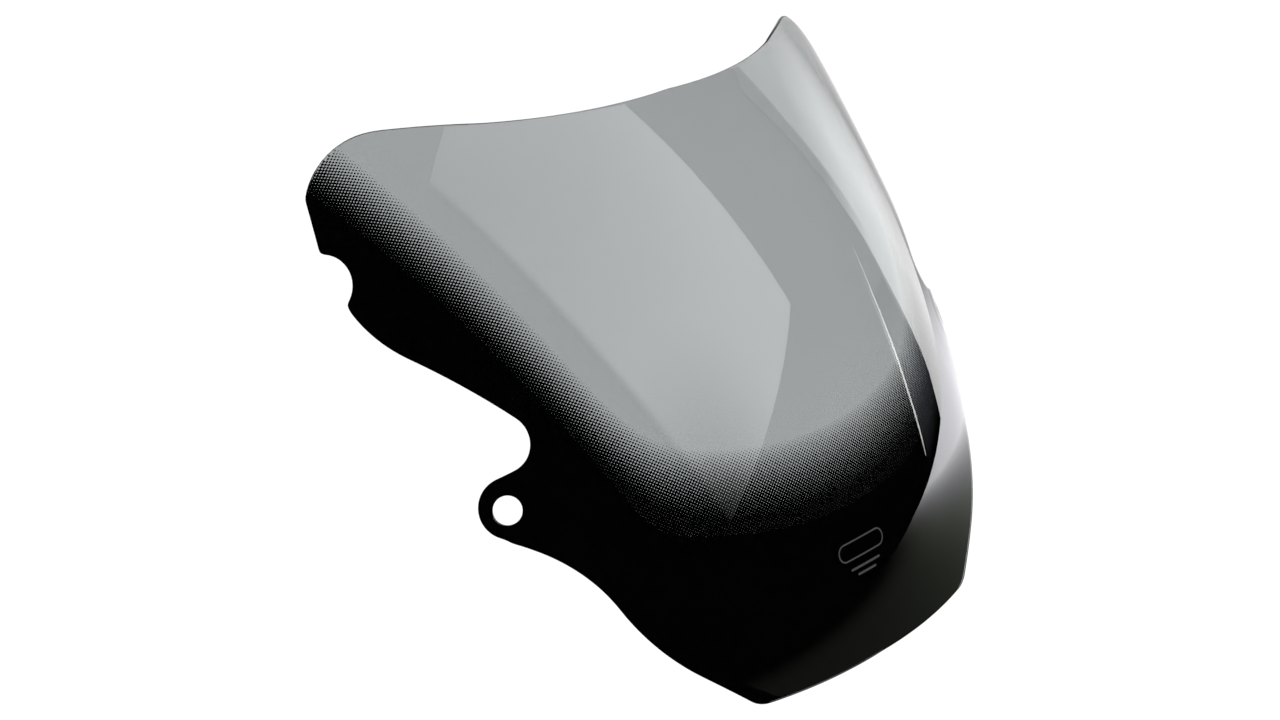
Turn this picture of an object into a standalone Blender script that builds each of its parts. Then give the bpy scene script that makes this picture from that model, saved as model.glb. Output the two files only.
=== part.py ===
"""Motorcycle windscreen: one thermoformed sheet of smoke-tinted acrylic with a printed border.

The sheet is drawn as a flat blank and then formed. On the blank, s runs across the sheet from its
centreline and v runs up it from the nose edge; depth runs from the outer face towards the rider.
Forming bends the blank over a profile arc (in v) and an arched section with shoulders (in s).
The part stands with its nose towards -Y. Its origin is midway between the two ear holes.
"""

import math

import bmesh
import bpy
import numpy as np

# Sheet and print, metres
SHEET_THICKNESS = 0.003
PRINT_GAP = 0.0003
PRINT_THICKNESS = 0.0003

# Profile: the centreline is an arc that leans back as it rises
NOSE_PITCH = math.radians(74)
PROFILE_RADIUS = 0.593

# Section: a broad arc across the face, with a shoulder on each side that fades towards the top
FACE_RADIUS = 0.3125
SHOULDER_SPAN = 0.300
SHOULDER_TURN = (math.radians(32), math.radians(6))
SHOULDER_REACH = (0.201, 0.154)
SHOULDER_EASE = (0.035, 0.049)
SECTION_STEPS = 64

# Ears: each hole has a flat disc round it. The profile's bend draws the flanks in by FLANK_DRAW
HOLE_CENTRE = (0.1739, 0.1431)
HOLE_RADIUS = 0.0070
HOLE_FLAT = 0.0155
HOLE_BLEND = 0.0225
FLANK_DRAW = 0.89
EAR_CENTRE = (0.1729, 0.1438)
EAR_RADIUS = 0.0146

# Uncut blank, and the outline of its right half: round stretches and the middles of the long edges
BLANK_LOW = (-0.215, -0.010)
BLANK_HIGH = (0.215, 0.362)
LOW_BITE_CENTRE = (0.1650, 0.1758)
LOW_BITE_RADIUS = 0.0134
HIGH_BITE_CENTRE = (0.2099, 0.2912)
HIGH_BITE_RADIUS = 0.0154
CORNER_CENTRE = (0.1653, 0.3068)
CORNER_RADIUS = 0.0402
NOSE_MIDDLE = (0.0, 0.0004)
TOP_MIDDLE = (0.0, 0.3093)

# Clear window: straight flanks and a bowed sill, at the inner and outer ends of the print's fade
FLANK_FOOT_V = 0.166
FADE_FLANK_S = (0.103, 0.133)
FADE_FLANK_SLOPE = (0.390, 0.345)
FADE_SILL_V = (0.116, 0.079)
FADE_SILL_BOW = (2.36, 2.10)
FADE_BLEND = 7.0
WINDOW_EYE = (0.0, 0.260)
WINDOW_TURNS = (-90, 53)
WINDOW_REACH = 0.6

# Mark: a plain rounded frame, printed on the outer face above the nose
MARK_CENTRE = (0.0, 0.0575)
MARK_SIZE = (0.034, 0.0095)
MARK_LINE = 0.0009
MARK_GAP = 0.0003
MARK_THICKNESS = 0.0002

# Mesh fineness, and the small steps and angles used in working it out
CELL = 0.0095
FINE_CELL = 0.0045
ARC_STEP = 0.0080
ARC_TURN = math.radians(12)
HOLE_SIDES = 24
RAY_STEP = 4
HALVINGS = 30
BAR_END_STEPS = 8
PRISM_HALF_HEIGHT = 0.010
TANGENT_STEP = 1e-4
MERGE = 1e-6
SHARP_ANGLE = math.radians(35)

ACRYLIC_COLOUR = (0.33, 0.35, 0.355, 1.0)
INK_COLOUR = (0.006, 0.006, 0.007, 1.0)
MARK_COLOUR = (0.32, 0.33, 0.33, 1.0)


def clear_scene():
    for old in list(bpy.data.objects):
        bpy.data.objects.remove(old, do_unlink=True)


def collection(name):
    new = bpy.data.collections.new(name)
    bpy.context.scene.collection.children.link(new)
    return new


def material(name, colour, roughness, transmission=0.0):
    new = bpy.data.materials.new(name)
    new.use_nodes = True
    shader = new.node_tree.nodes["Principled BSDF"]
    shader.inputs["Base Color"].default_value = colour
    shader.inputs["Roughness"].default_value = roughness
    shader.inputs["Metallic"].default_value = 0.0
    shader.inputs["Transmission Weight"].default_value = transmission
    new.diffuse_color = colour
    return new


# Forming ---------------------------------------------------------------------------------------


def along(ends, t):
    """The value a fraction t of the way from the nose value to the top value."""
    return ends[0] + (ends[1] - ends[0]) * t


def section_turn(s, t):
    """The angle that a section has turned through at distance s from the centreline."""
    reach = along(SHOULDER_REACH, t)
    ease = along(SHOULDER_EASE, t)
    shoulder = np.tanh((s - reach) / ease) + np.tanh((s + reach) / ease)
    return s / FACE_RADIUS + along(SHOULDER_TURN, t) * shoulder / 2


def bend(s, v, depth):
    """Points of the formed sheet, before its ears are flattened, for arrays of blank points."""
    t = v / SHOULDER_SPAN
    size = np.abs(s)
    side = np.sign(s)
    steps = (np.arange(SECTION_STEPS) + 0.5) / SECTION_STEPS
    turns = section_turn(size[:, None] * steps, t[:, None])
    out = np.cos(turns).mean(axis=1) * size
    drop = np.sin(turns).mean(axis=1) * size
    turn = section_turn(size, t)
    pitch = NOSE_PITCH - v / PROFILE_RADIUS
    centre_y = PROFILE_RADIUS * (math.sin(NOSE_PITCH) - np.sin(pitch))
    centre_z = PROFILE_RADIUS * (np.cos(pitch) - math.cos(NOSE_PITCH))
    fall = drop + depth * np.cos(turn)
    x = side * (out - depth * np.sin(turn))
    y = centre_y + fall * np.sin(pitch)
    z = centre_z - fall * np.cos(pitch)
    return np.stack([x, y, z], axis=1)


def hole_frame(side):
    """A hole's centre on the outer face, with unit vectors along s, along v and inwards."""
    s = np.array([0.0, TANGENT_STEP, 0.0]) + HOLE_CENTRE[0]
    v = np.array([0.0, 0.0, TANGENT_STEP]) + HOLE_CENTRE[1]
    centre, by_s, by_v = bend(side * s, v, np.zeros(3))
    across = (by_s - centre) / np.linalg.norm(by_s - centre) * side
    inward = np.cross(by_v - centre, across)
    inward = inward / np.linalg.norm(inward)
    return centre, across, np.cross(across, inward), inward


def form(points):
    """The blank's points (s, v, -depth) carried to the formed sheet, about the part's origin."""
    s, v, depth = points[:, 0], points[:, 1], -points[:, 2]
    formed = bend(s, v, depth)
    for side in (-1, 1):
        centre, across, up, inward = hole_frame(side)
        ds = s - side * HOLE_CENTRE[0]
        dv = (v - HOLE_CENTRE[1]) * FLANK_DRAW
        flat = centre + np.outer(ds, across) + np.outer(dv, up) + np.outer(depth, inward)
        share = np.clip((HOLE_BLEND - np.hypot(ds, dv)) / (HOLE_BLEND - HOLE_FLAT), 0, 1)
        share = (share * share * (3 - 2 * share))[:, None]
        formed = formed * (1 - share) + flat * share
    centre = hole_frame(1)[0]
    return formed - np.array([0.0, centre[1], centre[2]])


# Outlines on the blank ---------------------------------------------------------------------------


def arc(start, end, bulge):
    """Points of an arc from start up to, not including, end. It bulges to the right of its way."""
    chord = math.dist(start, end)
    right = ((end[1] - start[1]) / chord, (start[0] - end[0]) / chord)
    if bulge == 0:
        return [start]
    radius = (chord * chord / 4 + bulge * bulge) / (2 * abs(bulge))
    turn = 4 * math.atan(2 * abs(bulge) / chord)
    count = math.ceil(max(turn / ARC_TURN, chord / ARC_STEP))
    points = []
    for i in range(count):
        t = i / count
        rise = math.sqrt(radius**2 - ((t - 0.5) * chord) ** 2) - (radius - abs(bulge))
        rise = math.copysign(rise, bulge)
        s = start[0] + (end[0] - start[0]) * t + right[0] * rise
        v = start[1] + (end[1] - start[1]) * t + right[1] * rise
        points.append((s, v))
    return points


def ring(centre, radius, first, last):
    """Points from angle first to last, in degrees, of what forms into a circle on a flank."""
    count = math.ceil(math.radians(abs(last - first)) / ARC_TURN)
    points = []
    for i in range(count + 1):
        a = math.radians(first + (last - first) * i / count)
        rise = radius * math.sin(a) / FLANK_DRAW
        points.append((centre[0] + radius * math.cos(a), centre[1] + rise))
    return points


def half_outline():
    """The right half of the blank, from the middle of the nose edge to the middle of the top."""
    nose_corner = (0.0770, 0.0030)
    cheek_foot = (0.0873, 0.0088)
    cheek = (0.1080, 0.0290)
    waist = (0.1381, 0.0746)
    ear_root = (0.1768, 0.1257)
    flank_bend = (0.1884, 0.2347)
    flank_top = (0.2032, 0.2710)
    top_bend = (0.1040, 0.3273)
    ear = ring(EAR_CENTRE, EAR_RADIUS, -60, 86)
    low_bite = ring(LOW_BITE_CENTRE, LOW_BITE_RADIUS, 262, 142)
    high_bite = ring(HIGH_BITE_CENTRE, HIGH_BITE_RADIUS, 244, 118)
    corner = ring(CORNER_CENTRE, CORNER_RADIUS, 41, 113)
    outline = arc(NOSE_MIDDLE, nose_corner, 0.0010)
    outline += arc(nose_corner, cheek_foot, 0.00115)
    outline += arc(cheek_foot, cheek, 0.0)
    outline += arc(cheek, waist, 0.0030)
    outline += arc(waist, ear_root, -0.0049)
    outline += [ear_root] + ear + low_bite[:-1]
    outline += arc(low_bite[-1], flank_bend, -0.0005)
    outline += arc(flank_bend, flank_top, 0.0024)
    outline += [flank_top] + high_bite + corner
    outline += arc(top_bend, TOP_MIDDLE, -0.0057)
    return outline + [TOP_MIDDLE]


def whole(half):
    """A closed outline from its right half, whose ends lie on the centreline."""
    return half + [(-s, v) for s, v in reversed(half[1:-1])]


def holes():
    turns = [2 * math.pi * i / HOLE_SIDES for i in range(HOLE_SIDES)]
    loops = []
    for side in (-1, 1):
        loops.append(
            [
                (
                    side * HOLE_CENTRE[0] + HOLE_RADIUS * math.cos(a),
                    HOLE_CENTRE[1] + HOLE_RADIUS * math.sin(a) / FLANK_DRAW,
                )
                for a in turns
            ]
        )
    return loops


def tone(s, v):
    """How far into the print's fade a point lies: 0 at the clear window, 1 at solid black."""
    s = abs(s)
    rise = v - FLANK_FOOT_V
    inner, outer = (
        foot + slope * rise for foot, slope in zip(FADE_FLANK_S, FADE_FLANK_SLOPE)
    )
    flank = (s - inner) / (outer - inner)
    high, low = (edge + bow * s * s for edge, bow in zip(FADE_SILL_V, FADE_SILL_BOW))
    sill = (high - v) / (high - low)
    largest = max(flank, sill)
    mixed = sum(math.exp(FADE_BLEND * (x - largest)) for x in (flank, sill))
    return largest + math.log(mixed) / FADE_BLEND


def window_outline():
    """Where the print turns solid, found along rays from the middle of the window."""
    half = []
    for angle in range(*WINDOW_TURNS, RAY_STEP):
        ray = math.cos(math.radians(angle)), math.sin(math.radians(angle))
        near, far = 0.0, WINDOW_REACH
        for _ in range(HALVINGS):
            middle = (near + far) / 2
            if tone(WINDOW_EYE[0] + ray[0] * middle, WINDOW_EYE[1] + ray[1] * middle) < 1:
                near = middle
            else:
                far = middle
        half.append((WINDOW_EYE[0] + ray[0] * near, WINDOW_EYE[1] + ray[1] * near))
    return half + [(-s, v) for s, v in reversed(half[1:])]


def rounded_bar(size):
    """A bar with round ends, about the mark's centre."""
    reach = (size[0] - size[1]) / 2
    points = []
    for side, first in ((1, -90), (-1, 90)):
        for i in range(BAR_END_STEPS + 1):
            a = math.radians(first + 180 * i / BAR_END_STEPS)
            points.append(
                (
                    MARK_CENTRE[0] + side * reach + size[1] / 2 * math.cos(a),
                    MARK_CENTRE[1] + size[1] / 2 * math.sin(a),
                )
            )
    return points


# Solids ------------------------------------------------------------------------------------------


def prism(name, loops, cutters):
    """A closed prism through the blank from flat loops, inner loops being holes."""
    curve = bpy.data.curves.new(name, "CURVE")
    curve.dimensions = "2D"
    curve.fill_mode = "BOTH"
    curve.extrude = PRISM_HALF_HEIGHT
    for loop in loops:
        spline = curve.splines.new("POLY")
        spline.points.add(len(loop) - 1)
        for point, (s, v) in zip(spline.points, loop):
            point.co = (s, v, 0.0, 1.0)
        spline.use_cyclic_u = True
    outline = bpy.data.objects.new(name + "_curve", curve)
    cutters.objects.link(outline)
    evaluated = outline.evaluated_get(bpy.context.evaluated_depsgraph_get())
    mesh = bpy.data.meshes.new_from_object(evaluated)
    mesh.name = name
    bpy.data.objects.remove(outline)
    bm = bmesh.new()
    bm.from_mesh(mesh)
    bmesh.ops.remove_doubles(bm, verts=bm.verts, dist=MERGE)
    bmesh.ops.recalc_face_normals(bm, faces=bm.faces)
    bm.to_mesh(mesh)
    bm.free()
    cutter = bpy.data.objects.new(name, mesh)
    cutter.hide_render = True
    cutter.display_type = "WIRE"
    cutters.objects.link(cutter)
    return cutter


def slab(name, low, high, depth, thickness, cell, parts):
    """A gridded flat slab between two (s, v) corners, for cutting and forming."""
    across = 2 * math.ceil((high[0] - low[0]) / cell / 2) + 1
    up = math.ceil((high[1] - low[1]) / cell)
    bm = bmesh.new()
    bmesh.ops.create_grid(bm, x_segments=across, y_segments=up, size=0.5)
    bmesh.ops.scale(bm, vec=(high[0] - low[0], high[1] - low[1], 1.0), verts=bm.verts)
    middle = ((low[0] + high[0]) / 2, (low[1] + high[1]) / 2, -depth)
    bmesh.ops.translate(bm, vec=middle, verts=bm.verts)
    back = bmesh.ops.extrude_face_region(bm, geom=bm.faces[:])
    moved = [item for item in back["geom"] if isinstance(item, bmesh.types.BMVert)]
    bmesh.ops.translate(bm, vec=(0.0, 0.0, -thickness), verts=moved)
    bmesh.ops.recalc_face_normals(bm, faces=bm.faces)
    mesh = bpy.data.meshes.new(name)
    bm.to_mesh(mesh)
    bm.free()
    blank = bpy.data.objects.new(name, mesh)
    parts.objects.link(blank)
    return blank


def cut(blank, cutter, operation):
    modifier = blank.modifiers.new(operation.lower(), "BOOLEAN")
    modifier.object = cutter
    modifier.operation = operation
    modifier.solver = "EXACT"


def form_blank(blank, finish):
    """Applies the blank's cuts, splits its faces into triangles and forms it."""
    evaluated = blank.evaluated_get(bpy.context.evaluated_depsgraph_get())
    mesh = bpy.data.meshes.new_from_object(evaluated)
    mesh.name = blank.name
    blank.modifiers.clear()
    bm = bmesh.new()
    bm.from_mesh(mesh)
    bmesh.ops.remove_doubles(bm, verts=bm.verts, dist=MERGE)
    bmesh.ops.triangulate(bm, faces=bm.faces[:])
    formed = form(np.array([vertex.co[:] for vertex in bm.verts]))
    for vertex, place in zip(bm.verts, formed):
        vertex.co = place
    bmesh.ops.recalc_face_normals(bm, faces=bm.faces)
    bm.to_mesh(mesh)
    bm.free()
    mesh.materials.clear()
    mesh.materials.append(finish)
    mesh.shade_smooth()
    mesh.set_sharp_from_angle(angle=SHARP_ANGLE)
    blank.data = mesh
    return blank


def make_panel(parts, outline):
    blank = slab("screen_panel", BLANK_LOW, BLANK_HIGH, 0.0, SHEET_THICKNESS, CELL, parts)
    cut(blank, outline, "INTERSECT")
    return form_blank(blank, material("tinted_acrylic", ACRYLIC_COLOUR, 0.05, 0.9))


def make_border(parts, outline, window):
    depth = SHEET_THICKNESS + PRINT_GAP
    blank = slab("border_print", BLANK_LOW, BLANK_HIGH, depth, PRINT_THICKNESS, CELL, parts)
    cut(blank, outline, "INTERSECT")
    cut(blank, window, "DIFFERENCE")
    return form_blank(blank, material("black_ink", INK_COLOUR, 0.25))


def make_mark(parts, cutters):
    inside = (MARK_SIZE[0] - 2 * MARK_LINE, MARK_SIZE[1] - 2 * MARK_LINE)
    frame = prism("mark_outline", [rounded_bar(MARK_SIZE), rounded_bar(inside)], cutters)
    low = (MARK_CENTRE[0] - MARK_SIZE[0], MARK_CENTRE[1] - MARK_SIZE[1])
    high = (MARK_CENTRE[0] + MARK_SIZE[0], MARK_CENTRE[1] + MARK_SIZE[1])
    depth = -MARK_GAP - MARK_THICKNESS
    blank = slab("print_mark", low, high, depth, MARK_THICKNESS, FINE_CELL, parts)
    cut(blank, frame, "INTERSECT")
    return form_blank(blank, material("grey_ink", MARK_COLOUR, 0.3))


def main():
    clear_scene()
    parts = collection("windscreen")
    cutters = collection("cutters")
    outline = prism("sheet_outline", [whole(half_outline())] + holes(), cutters)
    window = prism("window_outline", [window_outline()], cutters)
    make_panel(parts, outline)
    make_border(parts, outline, window)
    make_mark(parts, cutters)


main()
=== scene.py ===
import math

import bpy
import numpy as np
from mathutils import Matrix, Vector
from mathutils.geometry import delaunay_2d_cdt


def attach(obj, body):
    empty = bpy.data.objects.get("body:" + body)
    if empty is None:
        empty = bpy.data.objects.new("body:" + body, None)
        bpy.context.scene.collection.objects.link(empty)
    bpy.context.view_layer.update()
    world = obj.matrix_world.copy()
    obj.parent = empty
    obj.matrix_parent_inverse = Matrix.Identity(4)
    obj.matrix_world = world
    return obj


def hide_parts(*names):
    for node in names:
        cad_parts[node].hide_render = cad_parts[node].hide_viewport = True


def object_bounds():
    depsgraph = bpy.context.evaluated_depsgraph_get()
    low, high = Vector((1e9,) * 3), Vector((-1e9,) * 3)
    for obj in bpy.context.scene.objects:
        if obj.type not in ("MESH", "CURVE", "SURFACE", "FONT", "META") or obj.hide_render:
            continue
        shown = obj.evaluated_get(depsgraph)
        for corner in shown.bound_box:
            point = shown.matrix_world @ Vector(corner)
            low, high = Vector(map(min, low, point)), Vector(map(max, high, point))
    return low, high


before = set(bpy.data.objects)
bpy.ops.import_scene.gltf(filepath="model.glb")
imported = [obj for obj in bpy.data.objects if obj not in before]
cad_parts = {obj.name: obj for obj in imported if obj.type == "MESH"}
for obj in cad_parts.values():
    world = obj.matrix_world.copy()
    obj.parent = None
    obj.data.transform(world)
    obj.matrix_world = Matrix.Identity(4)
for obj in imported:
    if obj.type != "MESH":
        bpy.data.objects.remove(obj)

# Looks for the motorcycle windscreen: a smooth formed sheet of smoke-tinted acrylic, its printed
# black border with the dots that fade it out, and a plain printed mark.
#
# As in the CAD model, each piece is drawn on the flat blank and then formed: s runs across the
# sheet from its centreline, v runs up it from the nose edge, and depth runs in from the outer face.

CAD_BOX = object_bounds()

# Sheet, as in the CAD model
SHEET_THICKNESS = 0.003
NOSE_PITCH = math.radians(74)
PROFILE_RADIUS = 0.593
FACE_RADIUS = 0.3125
SHOULDER_SPAN = 0.300
SHOULDER_TURN = (math.radians(32), math.radians(6))
SHOULDER_REACH = (0.201, 0.154)
SHOULDER_EASE = (0.035, 0.049)
SECTION_STEPS = 64
TANGENT_STEP = 1e-4

HOLE_CENTRE = (0.1739, 0.1431)
HOLE_RADIUS = 0.0070
FLANK_DRAW = 0.89
EAR_CENTRE = (0.1729, 0.1438)
EAR_RADIUS = 0.0146
LOW_BITE_CENTRE = (0.1650, 0.1758)
LOW_BITE_RADIUS = 0.0134
HIGH_BITE_CENTRE = (0.2099, 0.2912)
HIGH_BITE_RADIUS = 0.0154
CORNER_CENTRE = (0.1653, 0.3068)
CORNER_RADIUS = 0.0402
NOSE_MIDDLE = (0.0, 0.0004)
TOP_MIDDLE = (0.0, 0.3093)

FLANK_FOOT_V = 0.166
FADE_FLANK_S = (0.103, 0.133)
FADE_FLANK_SLOPE = (0.390, 0.345)
FADE_SILL_V = (0.116, 0.079)
FADE_SILL_BOW = (2.36, 2.10)
FADE_BLEND = 7.0
WINDOW_EYE = (0.0, 0.260)
WINDOW_TURNS = (-90.0, 53.0)
WINDOW_REACH = 0.6
HALVINGS = 30

# The ears are flat over less than in the CAD model, so that the flanks run on smoothly past them
HOLE_FLAT = 0.0090
HOLE_BLEND = 0.0220

# Fineness of the visual meshes
OUTLINE_STEP = 0.0016
ARC_TURN = math.radians(5)
HOLE_SIDES = 72
RAY_STEP = 1.0
SHEET_CELL = 0.0032
INK_CELL = 0.0036
EAR_ZONE = 0.026
EAR_SPLIT = 3
EASE_ROUNDS = 2
POINTS_AT_ONCE = 4000
MEET = 1e-7
SHARP_ANGLE = math.radians(40)

# Corners of an inset loop are mitred, but moved by no more than 1 / MITRE_LIMIT times the inset
MITRE_LIMIT = 0.5

# Polished edge of the sheet
EDGE_RADIUS = 0.0009
EDGE_STEPS = 4
EDGE_GUARD = 0.0008

# Ink, printed on the inner face: it lies just inside the acrylic, so that the two are in contact
INK_DEPTH = 0.00290
INK_THICKNESS = 0.00004
INK_MARGIN = 0.00035
DOT_DEPTH = 0.00284

# The ink's grid points keep this share of a cell from its edges
GRID_CLEARANCE = 1 / 3

# Halftone: rows of dots stand at 45 degrees. The blank's stretch widens them towards the flanks
DOT_ACROSS = 0.00206
DOT_ALONG = 0.00198
DOT_STRETCH = 5.8

# The dots' own measure of the fade, and how the clear share falls along it: (flank, sill)
DOT_FLANK_S = (0.1097, 0.133)
DOT_FLANK_SLOPE = (0.308, 0.345)
DOT_SILL_V = (0.117, 0.079)
DOT_SILL_BOW = (2.36, 2.10)
DOT_BLEND = 2.5
DOT_SWITCH = 2.6
DOT_MOST = (1.167, 0.742)
DOT_CURVE = (1.75, 2.6)
LEAST_CLEAR = 0.012
LEAST_INK = 0.02

# Shapes of the dots, in lattice pitches
ROUND_UP_TO = 0.28
DIAMOND = math.sqrt(0.5)
WIDEST_DOT = 0.485
CELL_CORNERS = ((0.5, 0), (0, 0.5), (-0.5, 0), (0, -0.5))
SAME_POINT = 1e-5
LEAST_FACE = 1e-10

# Mark: a rounded frame over two short bars, printed on the outer face
MARK_V = 0.0575
MARK_SIZE = (0.034, 0.0095)
MARK_LINE = 0.0008
MARK_BARS = ((0.0480, 0.022), (0.0445, 0.014))
MARK_BAR_HEIGHT = 0.0012
MARK_THICKNESS = 0.00004
MARK_CELL = 0.002
MARK_TURN = 10

# Colours, each as the darkest and the palest of its patches
SMOKE = ((0.326, 0.344, 0.347), (0.340, 0.357, 0.359))
BLACK = ((0.0025, 0.0026, 0.0030), (0.0045, 0.0045, 0.0050))
GREY = ((0.038, 0.040, 0.040), (0.060, 0.062, 0.061))
ACRYLIC_IOR = 1.49

# Most values of a noise field lie between these
NOISE_MIDDLE = (0.3, 0.7)

# Camera, in metres, degrees and, for its lens and sensor, millimetres
CAMERA_PLACE = (-0.6792, -0.6132, 0.4526)
CAMERA_AZIMUTH = -44.508
CAMERA_ELEVATION = 25.141
CAMERA_LENS = 55.32
CAMERA_SENSOR = 36.0
CAMERA_NEAREST = 0.01

FLOOR_DROP = 1.2
FLOOR_SIZE = 9.0
FLOOR_WHITE = (0.9, 0.9, 0.9, 1.0)
WORLD_LIGHT = 1.2
WORLD_WHITE = (1.0, 1.0, 1.0, 1.0)

DEPTH_WAY = (0.0, 1.0, 0.0)
HEIGHT_WAY = (0.0, 0.0, 1.0)

# Soft box overhead: three of its corners
OVERHEAD_LOW = (0.062, -0.638, 0.117)
OVERHEAD_NEAR = (-0.342, -0.202, 0.668)
OVERHEAD_FAR = (0.579, -0.468, 0.361)
OVERHEAD_SOFT = 0.03

# Cards beyond the rider's left flank, as (y, z) in one upright plane. They share the white one's edge
SIDE_X = 1.3
TABLE_Z = -0.187
CARD_TOP = 0.9
CARD_BACK = 1.5
FOOT_EDGE = ((-0.235, TABLE_Z), (-0.172, -0.11), (-0.161, -0.07), (-0.156, 0.13))
HEAD_EDGE = ((-0.078, 0.22), (-0.062, 0.38), (-0.050, 0.56))
MARGIN_EDGE = ((0.010, 0.80), (-0.126, 0.80), (-0.139, 0.22))
HAZE_EDGE = ((-0.33, 0.20), (-0.44, -0.02), (-0.50, TABLE_Z))
HAZE_BLUE = (0.90, 0.96, 1.10, 1.0)

# Bright fold in front of them, as (y, z) of its middle line with its widths
FOLD_X = 1.2
FOLD_LINE = (
    (-0.240, 0.288),
    (-0.311, 0.196),
    (-0.358, 0.108),
    (-0.410, 0.006),
    (-0.444, -0.079),
    (-0.470, -0.135),
)
FOLD_WIDTHS = (0.004, 0.014, 0.017, 0.019, 0.015, 0.005)

# Table top, as (x, y), with the way in which its burnt-out light grows
TABLE_FRONT = ((0.1, -1.6), (0.5, -1.5), (0.86, -1.33), (1.16, -1.06), (1.3, -0.80))
TABLE_LEFT = 0.1
BURN_WAY = (8.0, 8.0, 0.0)
BURN_START = -4.1
BURNT_OUT = 4.4
TABLE_TINTS = ((0.95, 1.05, 0.80), (0.99, 0.99, 1.03))


# Forming -----------------------------------------------------------------------------------------


def along(ends, t):
    """The value a fraction t of the way from the first end to the second."""
    return ends[0] + (ends[1] - ends[0]) * t


def section_turn(s, t):
    """The angle a section has turned through at distance s, a share t of the way up its span."""
    reach = along(SHOULDER_REACH, t)
    ease = along(SHOULDER_EASE, t)
    shoulder = np.tanh((s - reach) / ease) + np.tanh((s + reach) / ease)
    return s / FACE_RADIUS + along(SHOULDER_TURN, t) * shoulder / 2


def bend(s, v, depth):
    """Points of the formed sheet, before its ears are flattened, for arrays of blank points."""
    t = v / SHOULDER_SPAN
    size = np.abs(s)
    side = np.sign(s)
    steps = (np.arange(SECTION_STEPS) + 0.5) / SECTION_STEPS
    turns = section_turn(size[:, None] * steps, t[:, None])
    out = np.cos(turns).mean(axis=1) * size
    drop = np.sin(turns).mean(axis=1) * size
    turn = section_turn(size, t)
    pitch = NOSE_PITCH - v / PROFILE_RADIUS
    centre_y = PROFILE_RADIUS * (math.sin(NOSE_PITCH) - np.sin(pitch))
    centre_z = PROFILE_RADIUS * (np.cos(pitch) - math.cos(NOSE_PITCH))
    fall = drop + depth * np.cos(turn)
    x = side * (out - depth * np.sin(turn))
    y = centre_y + fall * np.sin(pitch)
    z = centre_z - fall * np.cos(pitch)
    return np.stack([x, y, z], axis=1)


def hole_frame(side):
    """A hole's centre on the outer face, with unit vectors along s, along v and inwards."""
    s = np.array([0.0, TANGENT_STEP, 0.0]) + HOLE_CENTRE[0]
    v = np.array([0.0, 0.0, TANGENT_STEP]) + HOLE_CENTRE[1]
    centre, by_s, by_v = bend(side * s, v, np.zeros(3))
    across = (by_s - centre) / np.linalg.norm(by_s - centre) * side
    inward = np.cross(by_v - centre, across)
    inward = inward / np.linalg.norm(inward)
    return centre, across, np.cross(across, inward), inward


HOLE_FRAMES = {side: hole_frame(side) for side in (-1, 1)}


def form(points, depth):
    """The blank's points (s, v), at their depths, carried to the sheet in the shared frame."""
    s, v = points[:, 0], points[:, 1]
    formed = bend(s, v, depth)
    for side, (centre, across, up, inward) in HOLE_FRAMES.items():
        ds = s - side * HOLE_CENTRE[0]
        dv = (v - HOLE_CENTRE[1]) * FLANK_DRAW
        flat = centre + np.outer(ds, across) + np.outer(dv, up) + np.outer(depth, inward)
        share = np.clip((HOLE_BLEND - np.hypot(ds, dv)) / (HOLE_BLEND - HOLE_FLAT), 0, 1)
        share = (share * share * (3 - 2 * share))[:, None]
        formed = formed * (1 - share) + flat * share
    between_holes = HOLE_FRAMES[1][0] * (0.0, 1.0, 1.0)
    return formed - between_holes


# Outlines on the blank ---------------------------------------------------------------------------


def arc(start, end, bulge):
    """Points of an arc from start up to, not including, end. It bulges to the right of its way."""
    chord = math.dist(start, end)
    right = ((end[1] - start[1]) / chord, (start[0] - end[0]) / chord)
    if bulge:
        radius = (chord * chord / 4 + bulge * bulge) / (2 * abs(bulge))
    count = math.ceil(chord / OUTLINE_STEP)
    points = []
    for i in range(count):
        t = i / count
        rise = 0.0
        if bulge:
            rise = math.sqrt(radius**2 - ((t - 0.5) * chord) ** 2) - (radius - abs(bulge))
            rise = math.copysign(rise, bulge)
        s = start[0] + (end[0] - start[0]) * t + right[0] * rise
        v = start[1] + (end[1] - start[1]) * t + right[1] * rise
        points.append((s, v))
    return points


def ring(centre, radius, first, last):
    """Points from angle first to last, in degrees, of what forms into a circle on a flank."""
    count = math.ceil(math.radians(abs(last - first)) / ARC_TURN)
    points = []
    for i in range(count + 1):
        a = math.radians(first + (last - first) * i / count)
        rise = radius * math.sin(a) / FLANK_DRAW
        points.append((centre[0] + radius * math.cos(a), centre[1] + rise))
    return points


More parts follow.
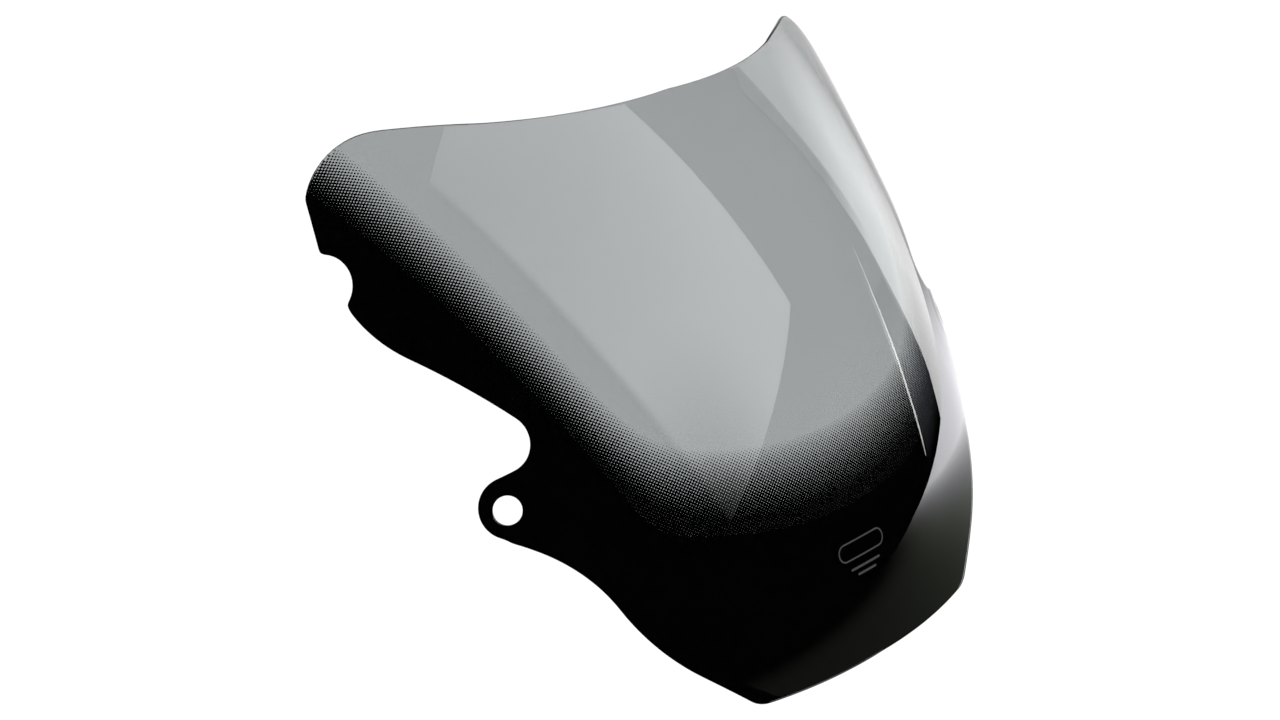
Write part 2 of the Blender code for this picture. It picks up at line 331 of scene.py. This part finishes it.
def half_outline():
    """The right half of the blank, from the middle of the nose edge to the middle of the top."""
    nose_corner = (0.0770, 0.0030)
    cheek_foot = (0.0873, 0.0088)
    cheek = (0.1080, 0.0290)
    waist = (0.1381, 0.0746)
    ear_root = (0.1768, 0.1257)
    flank_bend = (0.1884, 0.2347)
    flank_top = (0.2032, 0.2710)
    top_bend = (0.1040, 0.3273)
    ear = ring(EAR_CENTRE, EAR_RADIUS, -60, 86)
    low_bite = ring(LOW_BITE_CENTRE, LOW_BITE_RADIUS, 262, 142)
    high_bite = ring(HIGH_BITE_CENTRE, HIGH_BITE_RADIUS, 244, 118)
    corner = ring(CORNER_CENTRE, CORNER_RADIUS, 41, 113)
    outline = arc(NOSE_MIDDLE, nose_corner, 0.0010)
    outline += arc(nose_corner, cheek_foot, 0.00115)
    outline += arc(cheek_foot, cheek, 0.0)
    outline += arc(cheek, waist, 0.0030)
    outline += arc(waist, ear_root, -0.0049)
    outline += arc(ear_root, ear[0], 0.0)
    outline += ear[:-1] + arc(ear[-1], low_bite[0], 0.0)
    outline += low_bite[:-1]
    outline += arc(low_bite[-1], flank_bend, -0.0005)
    outline += arc(flank_bend, flank_top, 0.0024)
    outline += arc(flank_top, high_bite[0], 0.0)
    outline += high_bite[:-1] + arc(high_bite[-1], corner[0], 0.0)
    outline += corner[:-1] + arc(corner[-1], top_bend, 0.0)
    outline += arc(top_bend, TOP_MIDDLE, -0.0057)
    return outline + [TOP_MIDDLE]


def ease_corners(loop):
    """The closed loop with its corners taken down a little, as a polished edge is."""
    for _ in range(EASE_ROUNDS):
        loop = (np.roll(loop, 1, axis=0) + 2 * loop + np.roll(loop, -1, axis=0)) / 4
    return loop


def outline_loop():
    """The whole outline of the blank, anticlockwise."""
    half = half_outline()
    return ease_corners(np.array(half + [(-s, v) for s, v in reversed(half[1:-1])]))


def hole_loop(side):
    """The edge of an ear's hole, clockwise."""
    turns = -2 * np.pi * np.arange(HOLE_SIDES) / HOLE_SIDES
    s = side * HOLE_CENTRE[0] + HOLE_RADIUS * np.cos(turns)
    v = HOLE_CENTRE[1] + HOLE_RADIUS * np.sin(turns) / FLANK_DRAW
    return np.stack([s, v], axis=1)


def across_fade(s, v, flank_s, flank_slope, sill_v, sill_bow):
    """How far points lie across the flanks' fade and the sill's, from 0 at its start to 1."""
    rise = v - FLANK_FOOT_V
    inner, outer = (foot + slope * rise for foot, slope in zip(flank_s, flank_slope))
    high, low = (edge + bow * s * s for edge, bow in zip(sill_v, sill_bow))
    return (np.abs(s) - inner) / (outer - inner), (high - v) / (high - low)


def darker(flank, sill, blend):
    """The larger of two measures of the fade, with a soft change from one to the other."""
    return np.logaddexp(blend * flank, blend * sill) / blend


def tone(s, v):
    """How far into the print's fade points lie: 0 at the clear window, 1 at solid black."""
    ways = across_fade(s, v, FADE_FLANK_S, FADE_FLANK_SLOPE, FADE_SILL_V, FADE_SILL_BOW)
    return darker(*ways, FADE_BLEND)


def window_loop():
    """Where the print turns solid, found along rays from the middle of the window."""
    angles = np.radians(np.arange(*WINDOW_TURNS, RAY_STEP))
    ray = np.stack([np.cos(angles), np.sin(angles)], axis=1)
    near, far = np.zeros(len(ray)), np.full(len(ray), WINDOW_REACH)
    for _ in range(HALVINGS):
        middle = (near + far) / 2
        point = np.array(WINDOW_EYE) + ray * middle[:, None]
        clear = tone(point[:, 0], point[:, 1]) < 1
        near = np.where(clear, middle, near)
        far = np.where(clear, far, middle)
    half = np.array(WINDOW_EYE) + ray * near[:, None]
    return np.concatenate([half, half[:0:-1] * (-1, 1)])


def inset(loop, amount):
    """A closed loop moved to the left of its way, which is inwards for an outline."""
    before = loop - np.roll(loop, 1, axis=0)
    after = np.roll(loop, -1, axis=0) - loop
    before /= np.linalg.norm(before, axis=1)[:, None]
    after /= np.linalg.norm(after, axis=1)[:, None]
    way = before + after
    way /= np.linalg.norm(way, axis=1)[:, None]
    left = np.stack([-way[:, 1], way[:, 0]], axis=1)
    spread = np.clip(np.sum(way * after, axis=1), MITRE_LIMIT, 1)[:, None]
    return loop + left * amount / spread


def inside(points, loop):
    """Whether each point lies within the closed loop."""
    a, b = loop, np.roll(loop, -1, axis=0)
    found = np.zeros(len(points), bool)
    for start in range(0, len(points), POINTS_AT_ONCE):
        part = slice(start, start + POINTS_AT_ONCE)
        s = points[part, 0][:, None]
        v = points[part, 1][:, None]
        crosses = (a[:, 1] > v) != (b[:, 1] > v)
        rise = np.where(a[:, 1] == b[:, 1], 1.0, b[:, 1] - a[:, 1])
        at = a[:, 0] + (v - a[:, 1]) * (b[:, 0] - a[:, 0]) / rise
        found[part] = (crosses & (s < at)).sum(axis=1) % 2 == 1
    return found


def nearest_on(points, loop):
    """The nearest place to each point on the closed loop."""
    a, way = loop, np.roll(loop, -1, axis=0) - loop
    size = np.sum(way * way, axis=1)
    places = []
    for point in points:
        t = np.clip(np.sum((point - a) * way, axis=1) / size, 0, 1)[:, None]
        on = a + way * t
        places.append(on[np.argmin(np.sum((on - point) ** 2, axis=1))])
    return np.array(places).reshape(-1, 2)


def area(corners):
    """The area inside a closed loop, positive when it runs anticlockwise."""
    after = np.roll(corners, -1, axis=0)
    return np.sum(corners[:, 0] * after[:, 1] - corners[:, 1] * after[:, 0]) / 2


# Meshes ------------------------------------------------------------------------------------------


def grid_in(loop, holes, cell, clearance):
    """Points of a square grid that lie clear inside the loop. They stand closer round the holes."""
    low, high = loop.min(axis=0), loop.max(axis=0)
    found = []
    for pitch, fine in ((cell, False), (cell / EAR_SPLIT, True)):
        across = np.arange(-math.ceil(high[0] / pitch), math.ceil(high[0] / pitch) + 1) * pitch
        up = np.arange(math.floor(low[1] / pitch), math.ceil(high[1] / pitch) + 1) * pitch
        points = np.stack(np.meshgrid(across, up), axis=-1).reshape(-1, 2)
        reach = np.hypot(np.abs(points[:, 0]) - HOLE_CENTRE[0], points[:, 1] - HOLE_CENTRE[1])
        points = points[(reach < EAR_ZONE) == fine]
        margin = clearance / EAR_SPLIT if fine else clearance
        keep = inside(points, inset(loop, margin))
        for hole in holes:
            keep &= ~inside(points, inset(hole, margin))
        found.append(points[keep])
    return np.concatenate(found)


def fill(loops, extra, wanted):
    """Triangles between the closed loops through the extra points, where wanted(middles) holds."""
    points = [p for loop in loops for p in loop]
    edges = []
    start = 0
    for loop in loops:
        count = len(loop)
        edges += [(start + i, start + (i + 1) % count) for i in range(count)]
        start += count
    points += list(extra)
    found = delaunay_2d_cdt([Vector(p) for p in points], edges, [], 0, MEET)
    places = np.array([tuple(p) for p in found[0]])
    triangles = np.array([tuple(f) for f in found[2]])
    middles = places[triangles].mean(axis=1)
    triangles = triangles[wanted(middles)]
    a, b, c = (places[triangles[:, i]] for i in range(3))
    turn = (b[:, 0] - a[:, 0]) * (c[:, 1] - a[:, 1]) - (b[:, 1] - a[:, 1]) * (c[:, 0] - a[:, 0])
    triangles[turn < 0] = triangles[turn < 0][:, ::-1]
    return places, triangles[np.abs(turn) > MEET**2]


def new_piece(name, points, faces, finish, slot, node=None):
    """A formed mesh as a piece that rides on the sheet's body."""
    mesh = bpy.data.meshes.new(name)
    mesh.from_pydata([tuple(p) for p in points], [], faces)
    mesh.validate()
    mesh.update()
    mesh.materials.append(finish)
    mesh.shade_smooth()
    mesh.set_sharp_from_angle(angle=SHARP_ANGLE)
    piece = bpy.data.objects.new(name, mesh)
    bpy.context.scene.collection.objects.link(piece)
    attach(piece, "root")
    if node:
        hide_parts(node)
    return piece


def thin_solid(places, polygons, depth, thickness):
    """A closed thin solid from polygons on the blank, its outer face at the given depth."""
    used = sorted({int(i) for polygon in polygons for i in polygon})
    order = {old: new for new, old in enumerate(used)}
    places = places[used]
    count = len(places)
    points = np.concatenate([form(places, np.full(count, d)) for d in (depth, depth + thickness)])
    faces = [tuple(order[int(i)] for i in p) for p in polygons]
    walls = {}
    for face in faces:
        for a, b in zip(face, face[1:] + face[:1]):
            if (b, a) in walls:
                del walls[(b, a)]
            else:
                walls[(a, b)] = True
    back = [tuple(i + count for i in reversed(face)) for face in faces]
    sides = [(b, a, a + count, b + count) for a, b in walls]
    return points, faces + back + sides


def make_sheet(finish):
    """The acrylic sheet, with its edges rounded over."""
    loops = [outline_loop()] + [hole_loop(side) for side in (-1, 1)]
    faces_from = [inset(loop, EDGE_RADIUS) for loop in loops]
    rims = [inset(loop, EDGE_RADIUS + EDGE_GUARD) for loop in loops]
    grid = grid_in(rims[0], rims[1:], SHEET_CELL, EDGE_GUARD)

    def on_sheet(middles):
        clear = ~inside(middles, faces_from[1]) & ~inside(middles, faces_from[2])
        return inside(middles, faces_from[0]) & clear

    places, triangles = fill(faces_from, np.concatenate(rims + [grid]), on_sheet)
    count = len(places)
    points = [form(places, np.full(count, d)) for d in (0.0, SHEET_THICKNESS)]
    faces = [tuple(int(i) for i in t) for t in triangles]
    faces += [tuple(int(i) + count for i in reversed(t)) for t in triangles]

    turns = [math.pi / 2 * i / EDGE_STEPS for i in range(1, EDGE_STEPS + 1)]
    rounding = [(EDGE_RADIUS * (1 - math.sin(a)), EDGE_RADIUS * (1 - math.cos(a))) for a in turns]
    profile = rounding + [(i, SHEET_THICKNESS - d) for i, d in reversed(rounding)]
    start, total = 0, 2 * count
    for loop in loops:
        size = len(loop)
        rings = [[start + i for i in range(size)]]
        for amount, depth in profile:
            points.append(form(inset(loop, amount), np.full(size, depth)))
            rings.append([total + i for i in range(size)])
            total += size
        rings.append([start + count + i for i in range(size)])
        for near, far in zip(rings, rings[1:]):
            for i in range(size):
                j = (i + 1) % size
                faces.append((near[j], near[i], far[i], far[j]))
        start += size
    return new_piece(
        "tinted_sheet", np.concatenate(points), faces, finish, "tinted_acrylic", "screen_panel"
    )


def make_border(finish):
    """The solid black of the border."""
    outline = inset(outline_loop(), INK_MARGIN)
    holes = [inset(hole_loop(side), INK_MARGIN) for side in (-1, 1)]
    window = window_loop()

    def on_border(middles):
        black = inside(middles, outline) & ~inside(middles, window)
        return black & ~inside(middles, holes[0]) & ~inside(middles, holes[1])

    clearance = INK_CELL * GRID_CLEARANCE
    grid = grid_in(outline, holes, INK_CELL, clearance)
    grid = grid[~inside(grid, inset(window, -clearance))]
    places, triangles = fill([outline, window] + holes, grid, on_border)
    solid = thin_solid(places, triangles, INK_DEPTH, INK_THICKNESS)
    return new_piece("border_ink", *solid, finish, "black_ink", "border_print")


# Halftone ----------------------------------------------------------------------------------------


def blank_point(i, j):
    """The place on the blank of halftone lattice point (i, j)."""
    root = math.sqrt(DOT_STRETCH)
    return math.tan(root * i * DOT_ACROSS) / root, j * DOT_ALONG


def clear_share(i, j):
    """How much of the sheet the print leaves clear at a lattice point."""
    s, v = blank_point(i, j)
    ways = across_fade(s, v, DOT_FLANK_S, DOT_FLANK_SLOPE, DOT_SILL_V, DOT_SILL_BOW)
    left = max(1 - float(darker(*ways, DOT_BLEND)), 0.0)
    flank, sill = ways
    on_sill = 1 / (1 + math.exp(DOT_SWITCH * (flank - sill)))
    share = along(DOT_MOST, on_sill) * left ** along(DOT_CURVE, on_sill)
    least = LEAST_CLEAR if tone(s, v) < 1 else 0.0
    return min(max(share, least), 1.0)


def dot_reach(share):
    """A dot's reach towards its neighbours and between them, as shares of the lattice's pitch.

    Small dots are round. Towards half cover they turn into diamonds that almost touch.
    """
    ease = min(max((share - ROUND_UP_TO) / (0.5 - ROUND_UP_TO), 0), 1)
    squash = 1 + (DIAMOND - 1) * ease
    reach = min(math.sqrt(share / (4 * DIAMOND * squash)), WIDEST_DOT)
    return reach, reach * squash


class Lattice:
    """Halftone polygons with shared corners, on one half of the blank."""

    def __init__(self):
        self.index = {}
        self.places = []
        self.polygons = []

    def point(self, i, j):
        """The number of the lattice's point (i, j), which is made when it is first asked for."""
        key = (round(i / SAME_POINT), round(j / SAME_POINT))
        if key not in self.index:
            self.index[key] = len(self.places)
            self.places.append(blank_point(i, j))
        return self.index[key]

    def dot(self, i, j):
        """A separate black dot in the middle of a cell."""
        reach, between = dot_reach(1 - clear_share(i, j))
        side, tip = reach / 2, between * DIAMOND
        ways = ((tip, 0), (side, side), (0, tip), (-side, side))
        ways += tuple((-x, -y) for x, y in ways)
        self.polygons.append([self.point(i + x, j + y) for x, y in ways])

    def cell(self, i, j):
        """A black cell whose four corners are cut back by round clear holes."""
        rim = []
        for x, y in CELL_CORNERS:
            ci, cj = i + x, j + y
            clear = clear_share(ci, cj)
            if clear < LEAST_CLEAR:
                rim.append(self.point(ci, cj))
                continue
            reach, between = dot_reach(min(clear, 0.5))
            tip = 2 * between * DIAMOND
            rim.append(self.point(ci - (x - y) * reach, cj - (x + y) * reach))
            rim.append(self.point(ci - x * tip, cj - y * tip))
            rim.append(self.point(ci - (x + y) * reach, cj + (x - y) * reach))
        middle = self.point(i, j)
        for a, b in zip(rim, rim[1:] + rim[:1]):
            self.polygons.append([middle, a, b])


def cells_to_print(edge):
    """Centres of the lattice's cells in the fade that reach the sheet, and whether they are on it."""
    root = math.sqrt(DOT_STRETCH)
    widest = math.atan(root * edge[:, 0].max()) / root / DOT_ACROSS
    across, up = math.ceil(widest), math.ceil(edge[:, 1].max() / DOT_ALONG)
    found = []
    for shift in (0, 0.5):
        for i in np.arange(-across, across + 1) + shift:
            for j in np.arange(0, up + 1) + shift:
                corners = [blank_point(i + x, j + y) for x, y in CELL_CORNERS]
                if clear_share(i, j) < 1 - LEAST_INK and tone(*np.array(corners).T).min() < 1:
                    found.append((i, j))
    places = np.array([blank_point(i, j) for i, j in found])
    touching = inside(places, inset(edge, -DOT_ACROSS / 2))
    whole = inside(places, edge)
    return [(i, j, w) for (i, j), near, w in zip(found, touching, whole) if near]


def make_fade(finish):
    """The dots of the border's fade, in a left and a right piece."""
    edge = inset(outline_loop(), INK_MARGIN)
    halves = {"left": Lattice(), "right": Lattice()}
    for i, j, whole in cells_to_print(edge):
        half = halves["right" if i < 0 else "left"]
        if clear_share(i, j) <= 0.5:
            half.cell(i, j)
        elif whole:
            half.dot(i, j)
    for side, half in halves.items():
        places = np.array(half.places)
        outside = ~inside(places, edge)
        places[outside] = nearest_on(places[outside], edge)
        polygons = [p for p in half.polygons if area(places[p]) > LEAST_FACE]
        solid = thin_solid(places, polygons, DOT_DEPTH, INK_THICKNESS)
        new_piece("fade_dots_" + side, *solid, finish, "black_ink")


# Mark --------------------------------------------------------------------------------------------


def bar_loop(centre_v, length, height):
    """A bar with round ends, about the centreline."""
    reach = (length - height) / 2
    radius = height / 2
    turns = np.radians(np.arange(-90, 90 + MARK_TURN, MARK_TURN))
    end = np.stack([reach + radius * np.cos(turns), radius * np.sin(turns)], axis=1)
    steps = np.arange(-reach, reach, MARK_CELL)[1:]
    foot = np.stack([steps, np.full(len(steps), -radius)], axis=1)
    return np.concatenate([end, -foot, -end, foot]) + (0.0, centre_v)


def make_mark(finish):
    """The printed mark."""
    frame_loop = bar_loop(MARK_V, *MARK_SIZE)
    inner_size = [side - 2 * MARK_LINE for side in MARK_SIZE]
    inner_loop = bar_loop(MARK_V, *inner_size)
    bars = [bar_loop(v, length, MARK_BAR_HEIGHT) for v, length in MARK_BARS]

    def inked(middles):
        found = inside(middles, frame_loop) & ~inside(middles, inner_loop)
        for bar in bars:
            found |= inside(middles, bar)
        return found

    places, triangles = fill([frame_loop, inner_loop] + bars, [], inked)
    solid = thin_solid(places, triangles, -MARK_THICKNESS, MARK_THICKNESS)
    return new_piece("mark_ink", *solid, finish, "grey_ink", "print_mark")


# Materials ---------------------------------------------------------------------------------------


class Nodes:
    """Short names for the nodes of one material."""

    def __init__(self, material):
        material.use_nodes = True
        self.tree = material.node_tree
        self.shader = self.tree.nodes["Principled BSDF"]
        self.place = self.add("ShaderNodeTexCoord").outputs["Object"]

    def add(self, kind):
        return self.tree.nodes.new(kind)

    def link(self, source, target):
        self.tree.links.new(source, target)

    def noise(self, scale, detail):
        """A noise field over the piece, with about as many patches to the metre as its scale."""
        node = self.add("ShaderNodeTexNoise")
        node.inputs["Scale"].default_value = scale
        node.inputs["Detail"].default_value = detail
        self.link(self.place, node.inputs["Vector"])
        return node.outputs["Fac"]

    def tint(self, value, colours, places=NOISE_MIDDLE):
        """A base colour that goes from one colour to the other between the two places."""
        node = self.add("ShaderNodeValToRGB")
        for element, place, colour in zip(node.color_ramp.elements, places, colours):
            element.position = place
            element.color = (*colour, 1.0)
        self.link(value, node.inputs["Fac"])
        self.link(node.outputs["Color"], self.shader.inputs["Base Color"])

    def roughness(self, value, low, high):
        """A roughness that goes from low to high over the middle of a noise field."""
        node = self.add("ShaderNodeMapRange")
        names = ("From Min", "From Max", "To Min", "To Max")
        for name, number in zip(names, (*NOISE_MIDDLE, low, high)):
            node.inputs[name].default_value = number
        self.link(value, node.inputs["Value"])
        self.link(node.outputs["Result"], self.shader.inputs["Roughness"])

    def bump(self, height, strength, distance):
        """Fine relief on the surface."""
        node = self.add("ShaderNodeBump")
        node.inputs["Strength"].default_value = strength
        node.inputs["Distance"].default_value = distance
        self.link(height, node.inputs["Height"])
        self.link(node.outputs["Normal"], self.shader.inputs["Normal"])


def acrylic():
    """Clear smoke-grey acrylic: its tint drifts slightly, and its polish has faint haze."""
    material = bpy.data.materials.new("tinted_acrylic")
    n = Nodes(material)
    n.shader.inputs["Transmission Weight"].default_value = 1.0
    n.shader.inputs["IOR"].default_value = ACRYLIC_IOR
    n.tint(n.noise(scale=9.0, detail=2.0), SMOKE, places=(0.35, 0.65))
    n.roughness(n.noise(scale=60.0, detail=4.0), low=0.0, high=0.01)
    n.bump(n.noise(scale=14.0, detail=1.0), strength=0.02, distance=0.0003)
    return material


def black_ink():
    """Dense black screen ink, with a trace of mesh mottle."""
    material = bpy.data.materials.new("black_ink")
    n = Nodes(material)
    n.shader.inputs["Specular IOR Level"].default_value = 0.0
    mottle = n.noise(scale=220.0, detail=3.0)
    n.tint(mottle, BLACK)
    n.roughness(mottle, low=0.42, high=0.55)
    n.bump(mottle, strength=0.05, distance=0.0001)
    return material


def grey_ink():
    """Thin grey ink of the mark, slightly uneven."""
    material = bpy.data.materials.new("grey_ink")
    n = Nodes(material)
    patch = n.noise(scale=900.0, detail=3.0)
    n.tint(patch, GREY)
    n.roughness(patch, low=0.4, high=0.6)
    n.bump(patch, strength=0.1, distance=0.00005)
    return material


# Studio ------------------------------------------------------------------------------------------


def stage_mesh(name, corners, material):
    """A flat polygon of the studio."""
    mesh = bpy.data.meshes.new(name)
    mesh.from_pydata(corners, [], [tuple(range(len(corners)))])
    mesh.materials.append(material)
    card = bpy.data.objects.new(name, mesh)
    bpy.context.scene.collection.objects.link(card)
    return card


def make_floor():
    """The pale floor, which stands well below the object and isn't mirrored in it."""
    material = bpy.data.materials.new("pale_floor")
    n = Nodes(material)
    n.shader.inputs["Base Color"].default_value = FLOOR_WHITE
    n.shader.inputs["Roughness"].default_value = 0.9
    half = FLOOR_SIZE / 2
    level = CAD_BOX[0][2] - FLOOR_DROP
    corners = [(x * half, y * half, level) for x, y in ((-1, -1), (1, -1), (1, 1), (-1, 1))]
    floor = stage_mesh("floor", corners, material)
    floor.visible_glossy = False


class Glow:
    """An emission material whose strength is a product of simple fields over a card."""

    def __init__(self, name):
        self.material = bpy.data.materials.new(name)
        self.material.use_nodes = True
        self.tree = self.material.node_tree
        self.tree.nodes.clear()
        self.light = self.tree.nodes.new("ShaderNodeEmission")
        out = self.tree.nodes.new("ShaderNodeOutputMaterial")
        self.tree.links.new(self.light.outputs["Emission"], out.inputs["Surface"])
        self.place = self.tree.nodes.new("ShaderNodeTexCoord").outputs["Object"]

    def vector(self, operation, other):
        """A number worked out from a point's place and another vector."""
        node = self.tree.nodes.new("ShaderNodeVectorMath")
        node.operation = operation
        self.tree.links.new(self.place, node.inputs[0])
        node.inputs[1].default_value = other
        return node.outputs["Value"]

    def maths(self, operation, first, second):
        """A number worked out from two fields or numbers."""
        node = self.tree.nodes.new("ShaderNodeMath")
        node.operation = operation
        for socket, value in zip(node.inputs, (first, second)):
            if isinstance(value, (int, float)):
                socket.default_value = value
            else:
                self.tree.links.new(value, socket)
        return node.outputs["Value"]

    def ease(self, value, over, to, smooth=False):
        """The value carried from one range to another, and held beyond its ends."""
        node = self.tree.nodes.new("ShaderNodeMapRange")
        node.interpolation_type = "SMOOTHSTEP" if smooth else "LINEAR"
        names = ("From Min", "From Max", "To Min", "To Max")
        for name, number in zip(names, over + to):
            node.inputs[name].default_value = number
        self.tree.links.new(value, node.inputs["Value"])
        return node.outputs["Result"]

    def tint(self, value, colours):
        """The light's colour, which goes from one colour to the other as the value rises to 1."""
        node = self.tree.nodes.new("ShaderNodeValToRGB")
        for element, colour in zip(node.color_ramp.elements, colours):
            element.color = (*colour, 1.0)
        self.tree.links.new(value, node.inputs["Fac"])
        self.tree.links.new(node.outputs["Color"], self.light.inputs["Color"])

    def finish(self, *fields):
        """The material, as strong as the product of the fields."""
        total = fields[0]
        for field in fields[1:]:
            total = self.maths("MULTIPLY", total, field)
        self.tree.links.new(total, self.light.inputs["Strength"])
        return self.material


def make_card(name, corners, material):
    """A light card to be mirrored. The camera and matt surfaces don't see it or its shadow."""
    card = stage_mesh(name, corners, material)
    card.visible_camera = False
    card.visible_diffuse = False
    card.visible_shadow = False
    return card


def upright(x, outline):
    """Corners in an upright plane that faces the side, from their (y, z)."""
    return [(x, y, z) for y, z in outline]


def make_overhead():
    """The soft box above the rider's side: bright in the middle, dying out at its low corner."""
    low, near, far = Vector(OVERHEAD_LOW), Vector(OVERHEAD_NEAR), Vector(OVERHEAD_FAR)
    across = (far - low).normalized()
    edge = across.dot(low)
    glow = Glow("overhead_glow")
    rise = glow.ease(glow.vector("DISTANCE", low), over=(0.0, 0.36), to=(0.06, 1.0), smooth=True)
    fall = glow.ease(glow.vector("DISTANCE", near), over=(0.0, 0.75), to=(1.1, 2.7))
    from_edge = glow.vector("DOT_PRODUCT", across)
    side = glow.ease(from_edge, over=(edge, edge + OVERHEAD_SOFT), to=(0.0, 1.0), smooth=True)
    corners = [low, far, far + near - low, near]
    make_card("overhead_box", corners, glow.finish(rise, fall, side))


def make_side_box():
    """The tall white card beyond the rider's left flank, brightest at its near foot."""
    glow = Glow("side_glow")
    height = glow.vector("DOT_PRODUCT", HEIGHT_WAY)
    foot = glow.ease(height, over=(-0.03, 0.06), to=(3.3, 2.27))
    top = glow.ease(height, over=(0.25, 0.50), to=(1.0, 0.56))
    back = glow.ease(glow.vector("DOT_PRODUCT", DEPTH_WAY), over=(0.15, 0.55), to=(1.0, 0.27))
    near_top = (0.02, CARD_TOP)
    outline = FOOT_EDGE + HEAD_EDGE + (near_top, (CARD_BACK, CARD_TOP), (CARD_BACK, TABLE_Z))
    make_card("side_box", upright(SIDE_X, outline), glow.finish(foot, top, back))


def make_side_margin():
    """The dimmer margin that runs up the near side of the white card."""
    glow = Glow("margin_glow")
    fade = glow.ease(glow.vector("DOT_PRODUCT", HEIGHT_WAY), over=(0.20, 0.40), to=(2.0, 0.4))
    outline = FOOT_EDGE[-1:] + HEAD_EDGE + MARGIN_EDGE
    make_card("side_margin", upright(SIDE_X, outline), glow.finish(fade))


def make_side_haze():
    """The faint bluish light on the wall before the white card."""
    glow = Glow("haze_glow")
    glow.light.inputs["Color"].default_value = HAZE_BLUE
    height = glow.vector("DOT_PRODUCT", HEIGHT_WAY)
    rise = glow.ease(height, over=(-0.17, 0.0), to=(0.0, 0.33))
    fade = glow.ease(height, over=(0.0, 0.20), to=(1.0, 0.0))
    make_card("side_haze", upright(SIDE_X, FOOT_EDGE + HAZE_EDGE), glow.finish(rise, fade))


def make_fold():
    """The bent edge of a hanging sheet, which the flank mirrors as a fine line."""
    glow = Glow("strip_glow")
    fade = glow.ease(glow.vector("DOT_PRODUCT", HEIGHT_WAY), over=(0.09, 0.27), to=(5.6, 2.2))
    near, far = (
        [(y + side * width / 2, z) for (y, z), width in zip(FOLD_LINE, FOLD_WIDTHS)]
        for side in (-1, 1)
    )
    make_card("strip", upright(FOLD_X, near + far[::-1]), glow.finish(fade))


def make_table():
    """The lit table top that the lower flank mirrors, brightest beside the white card."""
    glow = Glow("table_glow")
    toward_card = glow.maths("ADD", glow.vector("DOT_PRODUCT", BURN_WAY), BURN_START)
    burn = glow.maths("POWER", math.e, toward_card)
    from_object = glow.vector("LENGTH", (0.0, 0.0, 0.0))
    spill = glow.ease(from_object, over=(0.8, 1.55), to=(0.12, 0.0), smooth=True)
    level = glow.maths("MINIMUM", glow.maths("ADD", burn, spill), BURNT_OUT)
    depth = glow.vector("DOT_PRODUCT", DEPTH_WAY)
    beside = glow.ease(depth, over=(-0.35, 0.08), to=(1.0, 0.66))
    back = glow.ease(depth, over=(0.08, 0.28), to=(1.0, 0.32))
    glow.tint(level, TABLE_TINTS)
    outline = TABLE_FRONT + ((SIDE_X, CARD_BACK), (TABLE_LEFT, CARD_BACK))
    corners = [(x, y, TABLE_Z) for x, y in outline]
    card = make_card("table_top", corners, glow.finish(level, beside, back))
    # Without this it would be seen through the clear window
    card.visible_transmission = False


def make_world():
    """Even white light all round, which the sheet's gloss doesn't see."""
    world = bpy.data.worlds.new("studio")
    bpy.context.scene.world = world
    world.use_nodes = True
    background = world.node_tree.nodes["Background"]
    background.inputs["Color"].default_value = WORLD_WHITE
    background.inputs["Strength"].default_value = WORLD_LIGHT
    world.cycles_visibility.glossy = False


def make_camera():
    """The camera, at the photo's viewing angle."""
    data = bpy.data.cameras.new("camera")
    data.lens = CAMERA_LENS
    data.sensor_width = CAMERA_SENSOR
    data.clip_start = CAMERA_NEAREST
    camera = bpy.data.objects.new("camera", data)
    camera.location = CAMERA_PLACE
    tilt = math.radians(90 - CAMERA_ELEVATION)
    camera.rotation_euler = (tilt, 0.0, math.radians(CAMERA_AZIMUTH))
    bpy.context.scene.collection.objects.link(camera)
    bpy.context.scene.camera = camera


def main():
    make_sheet(acrylic())
    ink = black_ink()
    make_border(ink)
    make_fade(ink)
    make_mark(grey_ink())
    make_floor()
    make_overhead()
    make_side_box()
    make_side_margin()
    make_side_haze()
    make_fold()
    make_table()
    make_world()
    make_camera()
    bpy.context.scene.view_settings.view_transform = "Standard"


main()
